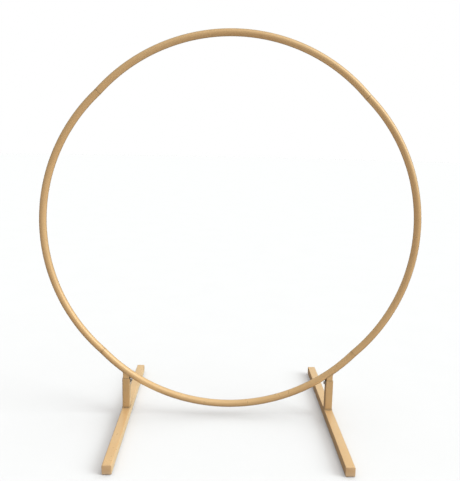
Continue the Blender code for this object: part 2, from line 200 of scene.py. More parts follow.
# ------------------------------------------------------- procedural finishes
class Nodes:
    """Small helper for building shader trees."""

    def __init__(self, name):
        self.mat = bpy.data.materials.new(name)
        self.mat.use_nodes = True
        self.tree = self.mat.node_tree
        self.tree.nodes.clear()
        self.out = self.add('ShaderNodeOutputMaterial')
        self.shader = self.add('ShaderNodeBsdfPrincipled')
        self.link(self.shader.outputs['BSDF'], self.out.inputs['Surface'])
        self.coord = self.add('ShaderNodeTexCoord').outputs['Object']

    def add(self, kind, **props):
        node = self.tree.nodes.new(kind)
        for key, value in props.items():
            setattr(node, key, value)
        return node

    def link(self, a, b):
        self.tree.links.new(a, b)

    def scaled(self, scale=(1, 1, 1), location=(0, 0, 0), rotation=(0, 0, 0)):
        node = self.add('ShaderNodeMapping')
        node.inputs['Scale'].default_value = scale
        node.inputs['Location'].default_value = location
        node.inputs['Rotation'].default_value = rotation
        self.link(self.coord, node.inputs['Vector'])
        return node.outputs['Vector']

    def noise(self, scale, detail=2.0, rough=0.5, vector=None, distortion=0.0):
        node = self.add('ShaderNodeTexNoise')
        node.inputs['Scale'].default_value = scale
        node.inputs['Detail'].default_value = detail
        node.inputs['Roughness'].default_value = rough
        node.inputs['Distortion'].default_value = distortion
        self.link(vector if vector is not None else self.coord, node.inputs['Vector'])
        return node.outputs['Fac']

    def voronoi(self, scale, vector=None, feature='F1'):
        node = self.add('ShaderNodeTexVoronoi', feature=feature)
        node.inputs['Scale'].default_value = scale
        self.link(vector if vector is not None else self.coord, node.inputs['Vector'])
        return node.outputs['Distance']

    def remap(self, value, a, b, c=0.0, d=1.0):
        node = self.add('ShaderNodeMapRange', clamp=True)
        node.inputs['From Min'].default_value = a
        node.inputs['From Max'].default_value = b
        node.inputs['To Min'].default_value = c
        node.inputs['To Max'].default_value = d
        self.link(value, node.inputs['Value'])
        return node.outputs['Result']

    def maths(self, operation, a, b=None):
        node = self.add('ShaderNodeMath', operation=operation)
        for i, v in enumerate((a, b)):
            if v is None:
                continue
            if isinstance(v, (int, float)):
                node.inputs[i].default_value = v
            else:
                self.link(v, node.inputs[i])
        return node.outputs['Value']

    def mix(self, fac, a, b, blend='MIX'):
        node = self.add('ShaderNodeMix', data_type='RGBA', blend_type=blend)
        for socket, v in ((node.inputs[0], fac), (node.inputs[6], a), (node.inputs[7], b)):
            if isinstance(v, (int, float)):
                socket.default_value = v
            elif isinstance(v, tuple):
                socket.default_value = (*v, 1.0)
            else:
                self.link(v, socket)
        return node.outputs[2]

    def height(self):
        node = self.add('ShaderNodeSeparateXYZ')
        self.link(self.coord, node.inputs[0])
        return node.outputs['Z']

    def edges(self, radius):
        """1 on edges rounder than the given radius, 0 on plain surface."""
        bevel = self.add('ShaderNodeBevel', samples=4)
        bevel.inputs['Radius'].default_value = radius
        geo = self.add('ShaderNodeNewGeometry')
        dot = self.add('ShaderNodeVectorMath', operation='DOT_PRODUCT')
        self.link(bevel.outputs['Normal'], dot.inputs[0])
        self.link(geo.outputs['Normal'], dot.inputs[1])
        return self.remap(dot.outputs['Value'], 0.999, 0.93)

    def occlusion(self, distance):
        node = self.add('ShaderNodeAmbientOcclusion', samples=6)
        node.inputs['Distance'].default_value = distance
        return node.outputs['AO']

    def bump(self, layers):
        """layers: (height, strength, distance) from coarse to fine."""
        last = None
        for height, strength, distance in layers:
            node = self.add('ShaderNodeBump')
            node.inputs['Strength'].default_value = strength
            node.inputs['Distance'].default_value = distance
            self.link(height, node.inputs['Height'])
            if last is not None:
                self.link(last, node.inputs['Normal'])
            last = node.outputs['Normal']
        self.link(last, self.shader.inputs['Normal'])

    def set(self, name, value):
        socket = self.shader.inputs[name]
        if isinstance(value, (int, float)):
            socket.default_value = value
        elif isinstance(value, tuple):
            socket.default_value = (*value, 1.0)
        else:
            self.link(value, socket)


def gold_paint(name, shift=0.0, wear=0.5, dark=1.0, rough=0.31, seams=False,
               rim_shade=0.0):
    """Satin gold-tan sprayed paint on steel: metallic flake, orange peel, a
    slightly uneven coat, scuffed edges, painted shade in the corners and a
    painted darker rim where the surface turns from view."""
    n = Nodes(name)
    cloud = n.noise(2.1, 4.0, 0.55, n.scaled(location=(shift, 1.7 + shift, 0.3)))
    coat = n.noise(38.0, 3.0, 0.6, n.scaled(location=(0.2, shift * 2.0, 0.9)))
    fleck = n.noise(620.0, 2.0, 0.7)
    base = n.mix(n.remap(cloud, 0.36, 0.64), GOLD_A, GOLD_B)
    base = n.mix(n.maths('MULTIPLY', n.remap(coat, 0.45, 0.75), 0.35), base, GOLD_C)
    base = n.mix(n.remap(fleck, 0.42, 0.62, 0.0, 0.30), base, GOLD_LIGHT)
    base = n.mix(n.remap(n.noise(240.0, 2.0, 0.6), 0.55, 0.75, 0.0, 0.22), base, GOLD_DARK)
    # painted shade held in corners, a darkening from ambient occlusion, and a little floor dust low down
    ao = n.occlusion(0.014)
    painted_corner_shade = n.maths('MULTIPLY', n.remap(ao, 0.95, 0.35), n.remap(coat, 0.25, 0.6, 0.55, 1.0))
    base = n.mix(painted_corner_shade, base, CORNER_SHADE_AND_SEAM_DARK)
    dust = n.maths('MULTIPLY', n.remap(n.height(), 0.055, 0.0),
                   n.remap(n.noise(55.0, 4.0, 0.7), 0.42, 0.66, 0.0, 0.5))
    base = n.mix(dust, base, DUST)
    # painted shade: the paint is darkened where it is seen along the surface, standing in for the dark
    # reflection at the tube's rims
    if rim_shade:
        facing = n.add('ShaderNodeLayerWeight').outputs['Facing']
        base = n.mix(n.remap(facing, 0.38, 0.88, 0.0, rim_shade), base, PAINTED_RIM_SHADE)
    if seams:
        # the tube ends: a dark line where they meet, and paint rubbed dull
        # where the joint is pushed together
        xyz = n.add('ShaderNodeSeparateXYZ')
        n.link(n.coord, xyz.inputs[0])
        across = n.maths('ABSOLUTE', n.maths('SUBTRACT', n.maths('ABSOLUTE', xyz.outputs['X']),
                         n.maths('ABSOLUTE', n.maths('SUBTRACT', xyz.outputs['Z'], CENTRE_Z))))
        wander = n.remap(n.noise(130.0, 3.0, 0.6), 0.3, 0.7, 0.0012, 0.0032)
        line = n.add('ShaderNodeMapRange', clamp=True)
        line.inputs['From Min'].default_value = 0.0004
        line.inputs['To Min'].default_value = 1.0
        line.inputs['To Max'].default_value = 0.0
        n.link(across, line.inputs['Value'])
        n.link(wander, line.inputs['From Max'])
        rub = n.maths('MULTIPLY', n.remap(across, 0.034, 0.004, 0.0, 1.0),
                      n.remap(n.noise(46.0, 4.0, 0.65, n.scaled(location=(4.0, 1.0, 2.0))),
                              0.46, 0.62, 0.0, 0.38))
        base = n.mix(rub, base, GOLD_DARK)
        base = n.mix(n.maths('MULTIPLY', line.outputs['Result'], 0.80), base, CORNER_SHADE_AND_SEAM_DARK)
    # worn edges and fine scratches show the steel under the coat
    edge = n.maths('MULTIPLY', n.edges(0.0011), n.remap(n.noise(150.0, 4.0, 0.7), 0.5, 0.66))
    scratch_field = n.noise(30.0, 2.0, 0.5, n.scaled((14.0, 14.0, 0.8), rotation=(0.3, 0.5, 0.2)))
    scratch = n.maths('MULTIPLY', n.remap(scratch_field, 0.665, 0.69),
                      n.remap(n.noise(5.0, 2.0, 0.5), 0.52, 0.62))
    worn = n.maths('MULTIPLY', n.maths('MAXIMUM', edge, n.maths('MULTIPLY', scratch, 0.6)), wear)
    base = n.mix(worn, base, WORN)
    if dark != 1.0:
        base = n.mix(1.0, base, (dark, dark, dark), 'MULTIPLY')
    n.set('Base Color', base)
    n.set('Metallic', n.remap(fleck, 0.3, 0.7, METALLIC - 0.08, METALLIC + 0.10))
    r = n.remap(coat, 0.3, 0.7, rough - 0.05, rough + 0.06)
    r = n.maths('ADD', r, n.maths('MULTIPLY', painted_corner_shade, 0.25))
    r = n.maths('ADD', r, n.maths('MULTIPLY', dust, 0.30))
    n.set('Roughness', r)
    n.set('Coat Weight', 0.85)
    n.set('Coat Roughness', 0.22)
    n.bump([(n.noise(95.0, 2.0, 0.5), 0.05, 0.0010),
            (n.noise(520.0, 2.0, 0.5), 0.10, 0.00025),
            (fleck, 0.05, 0.00008)])
    return n.mat


def zinc_plate(name, tint=(0.56, 0.545, 0.52), rough=0.36, shift=0.0):
    n = Nodes(name)
    cloud = n.noise(160.0, 4.0, 0.6, n.scaled(location=(shift, shift, shift)))
    grain = n.noise(90.0, 2.0, 0.5, n.scaled((3.0, 60.0, 60.0)))
    base = n.mix(n.remap(cloud, 0.35, 0.65), tint, tuple(c * 1.22 for c in tint))
    base = n.mix(n.remap(n.noise(700.0, 3.0, 0.7), 0.5, 0.75, 0.0, 0.5), base,
                 tuple(c * 0.62 for c in tint))
    # painted shade: the recesses are darkened from ambient occlusion
    ao = n.occlusion(0.006)
    painted_recess_shade = n.remap(ao, 0.9, 0.35, 0.0, 0.85)
    base = n.mix(painted_recess_shade, base, (0.085, 0.068, 0.050))
    bright = n.maths('MULTIPLY', n.edges(0.0005), n.remap(cloud, 0.4, 0.6))
    base = n.mix(n.maths('MULTIPLY', bright, 0.6), base, (0.72, 0.70, 0.66))
    n.set('Base Color', base)
    n.set('Metallic', 0.60)
    r = n.remap(cloud, 0.3, 0.7, rough - 0.08, rough + 0.12)
    n.set('Roughness', n.maths('ADD', r, n.maths('MULTIPLY', painted_recess_shade, 0.3)))
    n.bump([(cloud, 0.10, 0.0003), (grain, 0.12, 0.00008)])
    return n.mat


def moulded_plastic(name):
    n = Nodes(name)
    cloud = n.noise(25.0, 3.0, 0.5)
    grain = n.noise(1500.0, 2.0, 0.6)
    base = n.mix(n.remap(cloud, 0.35, 0.65), CAP_A, CAP_B)
    base = n.mix(n.remap(grain, 0.5, 0.7, 0.0, 0.2), base, tuple(c * 0.7 for c in CAP_A))
    scuff = n.maths('MULTIPLY', n.edges(0.0012), n.remap(n.noise(210.0, 4.0, 0.7), 0.48, 0.62))
    base = n.mix(n.maths('MULTIPLY', scuff, 0.5), base, (0.50, 0.40, 0.28))
    dust = n.remap(n.height(), 0.03, 0.0, 0.0, 0.3)
    base = n.mix(dust, base, DUST)
    n.set('Base Color', base)
    n.set('Roughness', n.remap(grain, 0.3, 0.7, 0.44, 0.58))
    n.set('Specular IOR Level', 0.45)
    n.bump([(n.noise(60.0, 2.0, 0.5), 0.04, 0.0008), (grain, 0.22, 0.00012)])
    return n.mat


def rubber(name):
    n = Nodes(name)
    cloud = n.noise(70.0, 4.0, 0.6)
    grain = n.noise(1100.0, 3.0, 0.7)
    base = n.mix(n.remap(cloud, 0.35, 0.7), (0.020, 0.019, 0.018), (0.048, 0.045, 0.041))
    dust = n.maths('MULTIPLY', n.remap(n.noise(160.0, 4.0, 0.7), 0.48, 0.7), 0.4)
    base = n.mix(dust, base, (0.20, 0.18, 0.15))
    n.set('Base Color', base)
    n.set('Roughness', n.remap(grain, 0.3, 0.7, 0.72, 0.92))
    n.set('Specular IOR Level', 0.3)
    n.bump([(cloud, 0.10, 0.0006), (grain, 0.35, 0.00020)])
    return n.mat


GOLD_A = (0.590, 0.367, 0.166)
GOLD_B = (0.638, 0.414, 0.198)
GOLD_C = (0.612, 0.358, 0.144)
GOLD_LIGHT = (0.705, 0.508, 0.276)
GOLD_DARK = (0.420, 0.245, 0.098)
# the colour of the painted darker rim where the surface turns from view
PAINTED_RIM_SHADE = (0.330, 0.205, 0.085)
# the colour of the painted shade in corners, also of the dark line at the tube seams
CORNER_SHADE_AND_SEAM_DARK = (0.150, 0.105, 0.062)
DUST = (0.520, 0.440, 0.340)
WORN = (0.330, 0.290, 0.240)
CAP_A = (0.470, 0.300, 0.150)
CAP_B = (0.510, 0.335, 0.172)
METALLIC = 0.22

mat_ring = gold_paint("ring_gold_paint", shift=0.0, wear=0.35, seams=True, rim_shade=0.60)
mat_foot = gold_paint("foot_gold_paint", shift=3.1, wear=0.8)
mat_post = gold_paint("post_gold_paint", shift=6.6, wear=0.8, dark=0.88)
mat_stub = gold_paint("stub_gold_paint", shift=5.7, wear=0.9)
mat_weld = gold_paint("weld_gold_paint", shift=8.3, wear=0.25, dark=0.82, rough=0.44)
mat_bolt = zinc_plate("clamp_bolt_zinc", shift=0.4)
mat_washer = zinc_plate("clamp_washer_zinc", tint=(0.50, 0.485, 0.46), rough=0.42, shift=1.9)
mat_screw = zinc_plate("joint_screw_zinc", tint=(0.56, 0.52, 0.46), rough=0.38, shift=2.7)
mat_sleeve = zinc_plate("joint_sleeve_zinc", tint=(0.54, 0.53, 0.51), rough=0.36, shift=4.2)
mat_cap = moulded_plastic("end_cap_plastic")
mat_pad = rubber("foot_pad_rubber")


def piece(obj, body, mat, nodes=()):
    obj.data.materials.clear()
    obj.data.materials.append(mat)
    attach(obj, body)
    if nodes:
        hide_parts(*nodes)
    return obj


# ------------------------------------------------------------------ ring arcs
ARC_MIDS = {"right": 0.0, "top": math.pi / 2.0, "left": math.pi,
            "bottom": 3.0 * math.pi / 2.0}
JOINTS = {"upper_right": math.radians(45.0), "upper_left": math.radians(135.0),
          "lower_left": math.radians(225.0), "lower_right": math.radians(315.0)}
ARC_SIDES = 40
SCREW_DISTANCE = 0.0365


def arc_section(mid, a, radius, depth=None, sign=1.0):
    """One ring of the arc's tube skin at arc angle a; with depth given, the
    ring lies in the joint's own plane, that far from it."""
    centre = CENTRE + polar(mid) * ARC_OFFSET
    e, t = polar(mid + a), tangent(mid + a)
    mid_point = centre + e * ARC_R
    pts = []
    for k in range(ARC_SIDES):
        phi = 2.0 * math.pi * k / ARC_SIDES
        p = mid_point + (e * math.cos(phi) + Y_AXIS * math.sin(phi)) * radius
        if depth is not None:
            normal = tangent(mid + sign * HALF) * sign
            plane = CENTRE - normal * depth
            p = p - t * ((p - plane).dot(normal) / t.dot(normal))
        pts.append(p)
    return pts


def arc_object(name, mid, steps=104):
    ends = ((0.00015, 0.00045), (0.00060, 0.0), (0.0030, 0.0))
    stations = []
    for depth, chamfer in ends:
        stations.append((-ARC_END + depth / ARC_R, chamfer, depth, -1.0))
    inner = ARC_END - 0.010 / ARC_R
    for i in range(steps + 1):
        stations.append((-inner + 2.0 * inner * i / steps, 0.0, None, 1.0))
    for depth, chamfer in reversed(ends):
        stations.append((ARC_END - depth / ARC_R, chamfer, depth, 1.0))
    outer = [arc_section(mid, a, TUBE_R - ch, d, s) for a, ch, d, s in stations]
    inside = [arc_section(mid, a, TUBE_R - TUBE_WALL, d, s) for a, ch, d, s in reversed(stations)]
    return loft(name, outer + inside)


def screw_seat(joint_angle, side):
    mid = joint_angle + side * HALF
    arc_centre = CENTRE + polar(mid) * ARC_OFFSET
    near = (CENTRE + polar(joint_angle) * JOINT_R
            + tangent(joint_angle) * (side * SCREW_DISTANCE))
    radial = (near - arc_centre).normalized()
    return arc_centre + radial * ARC_R, radial


arcs = {}
for arc_name, mid in ARC_MIDS.items():
    arcs[arc_name] = arc_object("ring_tube_" + arc_name, mid)

NEIGHBOURS = {"upper_right": ("right", "top"), "upper_left": ("top", "left"),
              "lower_left": ("left", "bottom"), "lower_right": ("bottom", "right")}

# ------------------------------------------------------------ joint screws
def turned(name, profile, steps=48, closed=False):
    """Revolves an X-Z profile about Z as a clean quad mesh."""
    rings = []
    n = steps
    verts, faces = [], []
    index = []
    for r, z in profile:
        if r < 1e-7:
            index.append([len(verts)])
            verts.append((0.0, 0.0, z))
        else:
            index.append(list(range(len(verts), len(verts) + n)))
            verts.extend((r * math.cos(2 * math.pi * k / n), r * math.sin(2 * math.pi * k / n), z)
                         for k in range(n))
    pairs = list(zip(index, index[1:])) + ([(index[-1], index[0])] if closed else [])
    for a, b in pairs:
        for k in range(n):
            m = (k + 1) % n
            if len(a) == 1 and len(b) == 1:
                continue
            if len(a) == 1:
                faces.append((a[0], b[k], b[m]))
            elif len(b) == 1:
                faces.append((a[k], b[0], a[m]))
            else:
                faces.append((a[k], b[k], b[m], a[m]))
    mesh = bpy.data.meshes.new(name)
    mesh.from_pydata(verts, [], faces)
    bm = bmesh.new()
    bm.from_mesh(mesh)
    bmesh.ops.recalc_face_normals(bm, faces=bm.faces)
    bm.to_mesh(mesh)
    bm.free()
    obj = bpy.data.objects.new(name, mesh)
    col.objects.link(obj)
    return obj


def thread_profile_radius(z, theta, major, minor, pitch):
    phase = (z / pitch - theta / (2.0 * math.pi)) % 1.0
    tri = 1.0 - abs(2.0 * phase - 1.0)
    tri = min(1.0, max(0.0, (tri - 0.12) / 0.76))
    return minor + (major - minor) * tri


def threaded_rod(name, major, minor, pitch, z_high, z_low, segments=48, per_turn=10, point=0.0006):
    """A rod with a helical thread, as a height field wrapped on a cylinder."""
    count = max(6, int(round((z_high - z_low) / pitch * per_turn)))
    rings = []
    for i in range(count + 1):
        z = z_high + (z_low - z_high) * i / count
        taper = max(0.0, (point - (z - z_low)) / point) if point > 0 else 0.0
        ring = []
        for k in range(segments):
            th = 2.0 * math.pi * k / segments
            r = thread_profile_radius(z, th, major, minor, pitch)
            r = min(r, minor + (major - minor) * (1.0 - taper) - 0.35 * (major - minor) * taper)
            ring.append(Vector((r * math.cos(th), r * math.sin(th), z)))
        rings.append(ring)
    return loft(name, rings, closed=False, cap=True)


HEAD_R, HEAD_H = 0.0048, 0.0032
head_profile = [(0.0, HEAD_H)]
for i in range(1, 10):
    a = math.radians(9.0 * i)
    head_profile.append((HEAD_R * 0.97 * math.sin(a) ** 0.92,
                         HEAD_H * (0.30 + 0.70 * math.cos(a))))
head_profile += [(HEAD_R, HEAD_H * 0.30), (HEAD_R, 0.00025), (HEAD_R - 0.00025, 0.0),
                 (0.0024, 0.0), (0.0024, -0.0012), (0.0, -0.0012)]

screw_head = turned("joint_screw_pattern", head_profile, 56)
# cross recess: two tapered slots
for turn in (0.0, math.pi / 2.0):
    mesh = bpy.data.meshes.new("recess")
    bm = bmesh.new()
    bmesh.ops.create_cube(bm, size=1.0)
    bmesh.ops.scale(bm, vec=(0.0050, 0.0011, 0.0024), verts=bm.verts)
    for v in bm.verts:
        if v.co.z < 0:
            v.co.x *= 0.45
            v.co.y *= 0.62
    bm.to_mesh(mesh)
    bm.free()
    slotc = bpy.data.objects.new("recess", mesh)
    tools.objects.link(slotc)
    slotc.matrix_world = Matrix.Translation((0, 0, HEAD_H + 0.0001)) @ Matrix.Rotation(turn, 4, 'Z')
    cut(screw_head, slotc)
    drop(slotc)
screw_shank = threaded_rod("joint_screw_shank", 0.0025, 0.00205, 0.0008, 0.0002, -0.0075)
cut(screw_head, screw_shank, 'UNION')
drop(screw_shank)

for joint_name, angle in JOINTS.items():
    for side, arc_name in zip((-1.0, 1.0), NEIGHBOURS[joint_name]):
        label = joint_name + ("_a" if side < 0 else "_b")
        seat, radial = screw_seat(angle, side)
        hole = cylinder("screw_hole", 0.0028, 0.030, 24,
                        frame_matrix(seat + Y_AXIS * 0.018, Y_AXIS, radial))
        cut(arcs[arc_name], hole)
        drop(hole)
        head = bpy.data.objects.new("joint_screw_fine_" + label, screw_head.data.copy())
        col.objects.link(head)
        turn = (math.degrees(angle) * 1.37 + (side > 0) * 53.0) % 90.0
        spin = Matrix.Rotation(math.radians(turn), 4, 'Z')
        bake_transform(head, frame_matrix(seat + Y_AXIS * (TUBE_R + 0.00015), Y_AXIS, radial) @ spin)
        smooth(head, 32)
        piece(head, "ring", mat_screw, ["joint_screw_" + label])
drop(screw_head)

for arc_name, obj in arcs.items():
    smooth(obj, 32)
    piece(obj, "ring", mat_ring, ["ring_arc_" + arc_name])

for joint_name in JOINTS:
    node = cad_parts["joint_sleeve_" + joint_name]
    node.data.materials.clear()
    node.data.materials.append(mat_sleeve)


# --------------------------------------------------------------- weld beads
def bead(name, path, normals, radius, pitch=0.0019, sides=12, seed=0.0):
    """A weld bead: a round section swept round a closed path, with the ripples
    that the torch leaves."""
    # resample the closed path evenly
    pts = path + [path[0]]
    nrm = normals + [normals[0]]
    lengths = [0.0]
    for p, q in zip(pts, pts[1:]):
        lengths.append(lengths[-1] + (q - p).length)
    total = lengths[-1]
    ripples = max(8, int(round(total / pitch)))
    count = ripples * 6
    rings = []
    j = 0
    samples = []
    for i in range(count):
        s = total * i / count
        while lengths[j + 1] < s:
            j += 1
        t = (s - lengths[j]) / max(lengths[j + 1] - lengths[j], 1e-12)
        samples.append((pts[j].lerp(pts[j + 1], t), nrm[j].lerp(nrm[j + 1], t).normalized(), s))
    for i, (p, nr, s) in enumerate(samples):
        before, after = samples[i - 1][0], samples[(i + 1) % count][0]
        tan = (after - before).normalized()
        side = tan.cross(nr).normalized()
        up = side.cross(tan).normalized()
        phase = (i % 6) / 6.0
        ripple = 1.0 + 0.10 * (1.0 - 2.0 * abs(phase - 0.35) if phase > 0.0 else 0.2)
        wander = (1.0 + 0.10 * math.sin(s * 210.0 + seed) + 0.07 * math.sin(s * 523.0 + seed * 2.3)
                  + 0.05 * math.sin(s * 97.0 + seed * 0.7))
        r = radius * ripple * wander
        rings.append([p + (side * math.cos(2 * math.pi * k / sides)
                           + up * math.sin(2 * math.pi * k / sides)) * r
                      for k in range(sides)])
    return smooth(loft(name, rings), 60)


# ------------------------------------------------------------- stubs and feet
def ring_underside(x, y, gap):
    za = CENTRE_Z - ARC_OFFSET
    r = TUBE_R + gap
    return za - math.sqrt((ARC_R + math.sqrt(max(r * r - y * y, 0.0))) ** 2 - x * x)


def bar_object(name, outer, inner, matrix, stations, chamfer=0.0004):
    """A hollow square bar along local Z, its ends slightly chamfered."""
    def ring(points, z, inset=0.0):
        out = []
        for p in points:
            q = p.copy()
            if inset:
                q = q * (1.0 - inset / max(abs(p.x), abs(p.y)))
            out.append(matrix @ Vector((q.x, q.y, z)))
        return out
    lo, hi = stations[0], stations[-1]
    zs = [lo + chamfer] + [z for z in stations[1:-1]] + [hi - chamfer]
    rings = [ring(outer, lo, chamfer)] + [ring(outer, z) for z in zs] + [ring(outer, hi, chamfer)]
    rings += [ring(inner, hi)] + [ring(inner, z) for z in reversed(stations[1:-1])] + [ring(inner, lo)]
    return loft(name, rings)


for side_name, sx in (("left", -1.0), ("right", 1.0)):
    foot = side_name + "_foot"
    # ------- stub
    lo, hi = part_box(side_name + "_ring_stub")
    cx = (lo.x + hi.x) / 2.0
    size = hi.x - lo.x
    outer = rounded_square(size, 0.003, 8, 12)
    inner_raw = rounded_square(size - 0.004, 0.001, 8, 12)

    def stub_ring(points, z=None, share=None, drop_by=0.0):
        out = []
        for p in points:
            x, y = cx + p.x, p.y
            top = ring_underside(x, y, GAP) - drop_by
            if z is None:
                zz = lo.z + 0.010 + (top - lo.z - 0.010) * share
            else:
                zz = z
            out.append(Vector((x, y, zz)))
        return out

    shares = [0.0, 0.25, 0.5, 0.75, 0.9, 1.0]
    rings = [[Vector((cx + p.x * 0.975, p.y * 0.975, lo.z)) for p in outer],
             stub_ring(outer, z=lo.z + 0.0006)]
    rings += [stub_ring(outer, share=s) for s in shares]
    rings += [stub_ring(inner_raw, share=s) for s in reversed(shares)]
    rings += [stub_ring(inner_raw, z=lo.z)]
    stub = smooth(loft(side_name + "_ring_stub_fine", rings), 35)
    piece(stub, "ring", mat_stub, [side_name + "_ring_stub"])

    # weld where the stub meets the ring
    path, nrm = [], []
    for p in rounded_square(size, 0.003, 6, 16):
        out = Vector((p.x, p.y, 0.0)).normalized()
        x, y = cx + p.x + out.x * 0.0006, p.y + out.y * 0.0006
        y_in = max(min(y, TUBE_R - 0.0006), -TUBE_R + 0.0006)
        path.append(Vector((x, y, ring_underside(x, y_in, 0.0) - 0.0004)))
        nrm.append(Vector((0.0, 0.0, 1.0)))
    weld = bead(side_name + "_stub_weld", path, nrm, 0.0021, seed=1.3 + sx)
    piece(weld, "ring", mat_weld, ())

    # ------- post
    lo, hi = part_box(side_name + "_post")
    size = hi.x - lo.x
    outer = rounded_square(size, 0.004, 8, 8)
    inner = rounded_square(size - 0.006, 0.001, 8, 8)
    n = 12
    stations = [lo.z + (hi.z - lo.z) * i / n for i in range(n + 1)]
    place = Matrix.Translation((cx, 0.0, 0.0))
    post = bar_object(side_name + "_post_fine", outer, inner, place, stations, 0.0006)
    bolt_lo, bolt_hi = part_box(side_name + "_clamp_bolt")
    bolt_z = (bolt_lo.z + bolt_hi.z) / 2.0
    inward = Vector((-sx, 0.0, 0.0))
    face = Vector((cx - sx * size / 2.0, 0.0, bolt_z))
    face_matrix = frame_matrix(face, inward, Y_AXIS)
    hole = cylinder("clamp_hole", CLAMP_HOLE_R, 0.012, 48, face_matrix)
    cut(post, hole)
    drop(hole)
    smooth(post, 32)
    piece(post, foot, mat_post, [side_name + "_post"])

    # ------- weld between post and beam
    beam_lo, beam_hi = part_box(side_name + "_floor_beam")
    path, nrm = [], []
    for p in rounded_square(size, 0.004, 6, 16):
        out = Vector((p.x, p.y, 0.0)).normalized()
        q = Vector((cx + p.x, p.y, 0.0)) + Vector((out.x, out.y, 0.0)) * 0.0007
        edge = max(0.0, abs(q.x - cx) - (beam_hi.x - beam_lo.x) / 2.0 + 0.004)
        fall = 0.004 - math.sqrt(max(0.004 ** 2 - edge ** 2, 0.0))
        path.append(Vector((q.x, q.y, beam_hi.z + 0.0006 - fall)))
        nrm.append(Vector((0.0, 0.0, 1.0)))
    weld = bead(side_name + "_post_weld", path, nrm, 0.0023, seed=4.1 + sx)
    piece(weld, foot, mat_weld, ())

    # ------- clamp washer
    washer_lo, washer_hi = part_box(side_name + "_clamp_washer")
    w_t = washer_hi.x - washer_lo.x
    w_r = (washer_hi.z - washer_lo.z) / 2.0
    wz = GAP
    c = 0.00024
    w_in = CLAMP_HOLE_R
    washer = turned(side_name + "_clamp_washer_fine",
                    [(w_in, wz + w_t - c), (w_in + c, wz + w_t), (w_r - 2.2 * c, wz + w_t),
                     (w_r - 0.8 * c, wz + w_t - 0.4 * c), (w_r, wz + w_t - 1.4 * c),
                     (w_r, wz + c), (w_r - c, wz), (w_in + c, wz), (w_in, wz + c)],
                    72, closed=True)
    bake_transform(washer, face_matrix)
    smooth(washer, 25)
    piece(washer, side_name + "_clamp_washer", mat_washer, [side_name + "_clamp_washer"])

    # ------- clamp bolt: hex head with chamfered corners, threaded shank
    z0 = GAP + w_t + GAP
    head_h = CLAMP_HEAD_H
    across = CLAMP_ACROSS
    mesh = bpy.data.meshes.new("hex")
    bm = bmesh.new()
    bmesh.ops.create_cone(bm, cap_ends=True, segments=6, radius1=across / math.sqrt(3.0),
                          radius2=across / math.sqrt(3.0), depth=head_h - 0.0004)
    bmesh.ops.translate(bm, verts=bm.verts, vec=(0, 0, z0 + 0.0004 + (head_h - 0.0004) / 2.0))
    bm.to_mesh(mesh)
    bm.free()
    bolt = bpy.data.objects.new(side_name + "_clamp_bolt_fine", mesh)
    col.objects.link(bolt)
    top = z0 + head_h
    R = across / 2.0
    crown = turned("crown", [(0.0, top + 0.0001), (R * 0.94, top + 0.0001),
                             (R * 1.20, top - 0.00105), (R * 1.20, z0 - 0.001), (0.0, z0 - 0.001)], 96)
    cut(bolt, crown, 'INTERSECT')
    drop(crown)
    collar = turned("collar", [(0.0, z0 + 0.0010), (R * 0.94, z0 + 0.0010), (R * 0.94, z0), (0.0, z0)], 64)
    cut(bolt, collar, 'UNION')
    drop(collar)
    tip = bolt_lo.x - face.x if sx < 0 else face.x - bolt_hi.x
    shank = threaded_rod("shank", CLAMP_SHANK_R, CLAMP_SHANK_R - 0.00085, 0.0015,
                         z0 + 0.0008, tip, 64, 14)
    cut(bolt, shank, 'UNION')
    drop(shank)
    bake_transform(bolt, face_matrix)
    smooth(bolt, 28)
    piece(bolt, side_name + "_clamp_bolt", mat_bolt, [side_name + "_clamp_bolt"])

    # ------- floor beam
    lo, hi = beam_lo, beam_hi
    size = hi.x - lo.x
    cz = (lo.z + hi.z) / 2.0
    outer = rounded_square(size, 0.004, 8, 6)
    inner = rounded_square(size - 0.004, 0.002, 8, 6)
    n = 30
    stations = [lo.y + (hi.y - lo.y) * i / n for i in range(n + 1)]
    turn = Matrix.Translation((cx, 0.0, cz)) @ Matrix(((1, 0, 0, 0), (0, 0, 1, 0), (0, 1, 0, 0), (0, 0, 0, 1)))
    beam = bar_object(side_name + "_floor_beam_fine", outer, inner, turn, stations, 0.0005)
    smooth(beam, 32)
    piece(beam, foot, mat_foot, [side_name + "_floor_beam"])

    for end_name, sy in (("front", -1.0), ("rear", 1.0)):
        # end cap: softly edged flange, plug with gripping ribs
        lo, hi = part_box(side_name + "_beam_cap_" + end_name)
        flange_in = sy * abs((hi.y if sy < 0 else lo.y))
        flange_out = lo.y if sy < 0 else hi.y
        flange_t = 0.003
        inside_y = flange_out - sy * flange_t
        rings = []

        def cap_ring(size_, radius_, y):
            return [Vector((cx + p.x, y, cz + p.y)) for p in rounded_square(size_, radius_, 8)]

